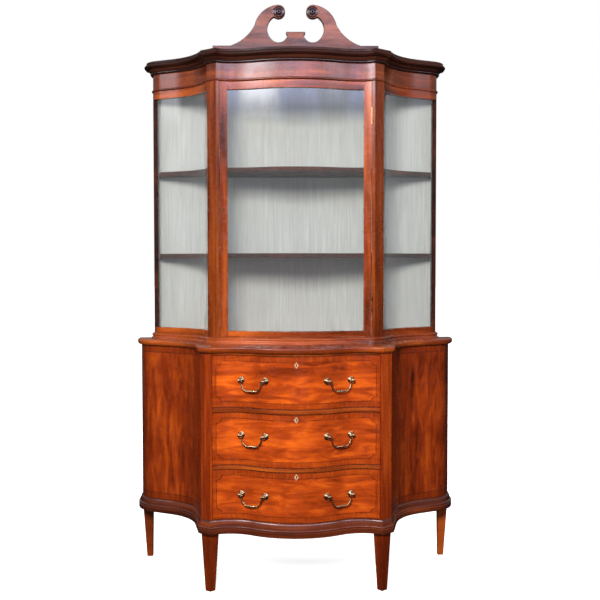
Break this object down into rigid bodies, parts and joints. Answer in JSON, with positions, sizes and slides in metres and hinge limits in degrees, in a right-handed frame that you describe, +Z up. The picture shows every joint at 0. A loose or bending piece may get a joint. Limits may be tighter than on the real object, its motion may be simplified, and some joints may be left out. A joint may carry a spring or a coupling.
{
  "type": "display cabinet",
  "caption": "Serpentine display cabinet: glazed upper case with a bowed glass door, shelves and swan-neck pediment on a chest of drawers with tapered legs.",
  "frame": {"origin": "on the floor, at the middle of the footprint", "axes": "+Z up, +X to the right of someone facing the door, -Y towards that person (the front)"},
  "size_m": [1.23, 0.522, 2.0837],
  "materials": {
    "mahogany": "french polished mahogany, satin gloss",
    "dark_mahogany": "dark polished mahogany mouldings",
    "flame_veneer": "polished flame mahogany veneer with crossbanding and stringing",
    "drawer_lining_oak": "plain unpolished oak and pine",
    "brass": "old lacquered brass",
    "window_glass": "clear sheet glass, slightly uneven",
    "bone": "polished bone inlay",
    "lining_cloth": "pale watered silk",
    "lock_steel": "worn iron bolt"
  },
  "bodies": {
    "cabinet": {"front_posts": "mahogany", "rear_legs": "mahogany", "base_moulding": "dark_mahogany", "base_floor": "drawer_lining_oak", "base_side_right": "flame_veneer", "base_side_left": "flame_veneer", "base_back": "drawer_lining_oak", "base_top": "mahogany", "drawer_rails": "mahogany", "drawer_runners": "drawer_lining_oak", "drawer_partitions": "drawer_lining_oak", "plinth_moulding": "dark_mahogany", "case_floor": "mahogany", "case_posts": "mahogany", "case_rear_stiles": "mahogany", "case_side_rails": "mahogany", "side_glass_right": "window_glass", "side_glass_left": "window_glass", "frieze": "flame_veneer", "cornice": "dark_mahogany", "case_top": "drawer_lining_oak", "case_back": "drawer_lining_oak", "back_lining": "lining_cloth", "shelf_lower": "dark_mahogany", "shelf_upper": "dark_mahogany", "shelf_supports": "brass", "pediment": "mahogany", "rosettes": "dark_mahogany", "hinge_fixed_leaves": "brass"},
    "door": {"door_stiles": "mahogany", "door_rails": "mahogany", "door_glass": "window_glass", "hinge_door_leaves": "brass", "door_lock": "brass", "door_escutcheon": "brass"},
    "door_bolt": {"door_bolt": "lock_steel"},
    "drawer_bottom": {"drawer_front_bottom": "flame_veneer", "drawer_box_bottom": "drawer_lining_oak", "escutcheon_bottom": "bone", "handle_bosses_bottom": "brass", "drawer_lock_bottom": "brass"},
    "drawer_bolt_bottom": {"drawer_bolt_bottom": "lock_steel"},
    "bail_bottom_right": {"bail_bottom_right": "brass"},
    "bail_bottom_left": {"bail_bottom_left": "brass"},
    "drawer_middle": {"drawer_front_middle": "flame_veneer", "drawer_box_middle": "drawer_lining_oak", "escutcheon_middle": "bone", "handle_bosses_middle": "brass", "drawer_lock_middle": "brass"},
    "drawer_bolt_middle": {"drawer_bolt_middle": "lock_steel"},
    "bail_middle_right": {"bail_middle_right": "brass"},
    "bail_middle_left": {"bail_middle_left": "brass"},
    "drawer_top": {"drawer_front_top": "flame_veneer", "drawer_box_top": "drawer_lining_oak", "escutcheon_top": "bone", "handle_bosses_top": "brass", "drawer_lock_top": "brass"},
    "drawer_bolt_top": {"drawer_bolt_top": "lock_steel"},
    "bail_top_right": {"bail_top_right": "brass"},
    "bail_top_left": {"bail_top_left": "brass"}
  },
  "joints": [
    {"name": "door_hinge", "type": "hinge", "parent": "cabinet", "child": "door", "pos_m": [0.2758, -0.05021, 1.35], "axis": [0, 0, 1], "range_deg": [0, 100]},
    {"name": "door_bolt_slide", "type": "slide", "parent": "door", "child": "door_bolt", "axis": [-1, 0, 0], "range_m": [0, 0.0065]},
    {"name": "drawer_bottom_slide", "type": "slide", "parent": "cabinet", "child": "drawer_bottom", "axis": [0, -1, 0], "range_m": [0, 0.3]},
    {"name": "drawer_bottom_bolt_slide", "type": "slide", "parent": "drawer_bottom", "child": "drawer_bolt_bottom", "axis": [0, 0, 1], "range_m": [0, 0.0065]},
    {"name": "bail_bottom_right_hinge", "type": "hinge", "parent": "drawer_bottom", "child": "bail_bottom_right", "pos_m": [0.15749, -0.21784, 0.345], "axis": [-0.8996, -0.4368, 0], "range_deg": [0, 90]},
    {"name": "bail_bottom_left_hinge", "type": "hinge", "parent": "drawer_bottom", "child": "bail_bottom_left", "pos_m": [-0.15749, -0.21784, 0.345], "axis": [-0.8996, 0.4368, 0], "range_deg": [0, 90]},
    {"name": "drawer_middle_slide", "type": "slide", "parent": "cabinet", "child": "drawer_middle", "axis": [0, -1, 0], "range_m": [0, 0.3]},
    {"name": "drawer_middle_bolt_slide", "type": "slide", "parent": "drawer_middle", "child": "drawer_bolt_middle", "axis": [0, 0, 1], "range_m": [0, 0.0065]},
    {"name": "bail_middle_right_hinge", "type": "hinge", "parent": "drawer_middle", "child": "bail_middle_right", "pos_m": [0.15749, -0.21784, 0.555], "axis": [-0.8996, -0.4368, 0], "range_deg": [0, 90]},
    {"name": "bail_middle_left_hinge", "type": "hinge", "parent": "drawer_middle", "child": "bail_middle_left", "pos_m": [-0.15749, -0.21784, 0.555], "axis": [-0.8996, 0.4368, 0], "range_deg": [0, 90]},
    {"name": "drawer_top_slide", "type": "slide", "parent": "cabinet", "child": "drawer_top", "axis": [0, -1, 0], "range_m": [0, 0.3]},
    {"name": "drawer_top_bolt_slide", "type": "slide", "parent": "drawer_top", "child": "drawer_bolt_top", "axis": [0, 0, 1], "range_m": [0, 0.0065]},
    {"name": "bail_top_right_hinge", "type": "hinge", "parent": "drawer_top", "child": "bail_top_right", "pos_m": [0.15749, -0.21784, 0.7485], "axis": [-0.8996, -0.4368, 0], "range_deg": [0, 90]},
    {"name": "bail_top_left_hinge", "type": "hinge", "parent": "drawer_top", "child": "bail_top_left", "pos_m": [-0.15749, -0.21784, 0.7485], "axis": [-0.8996, 0.4368, 0], "range_deg": [0, 90]}
  ]
}
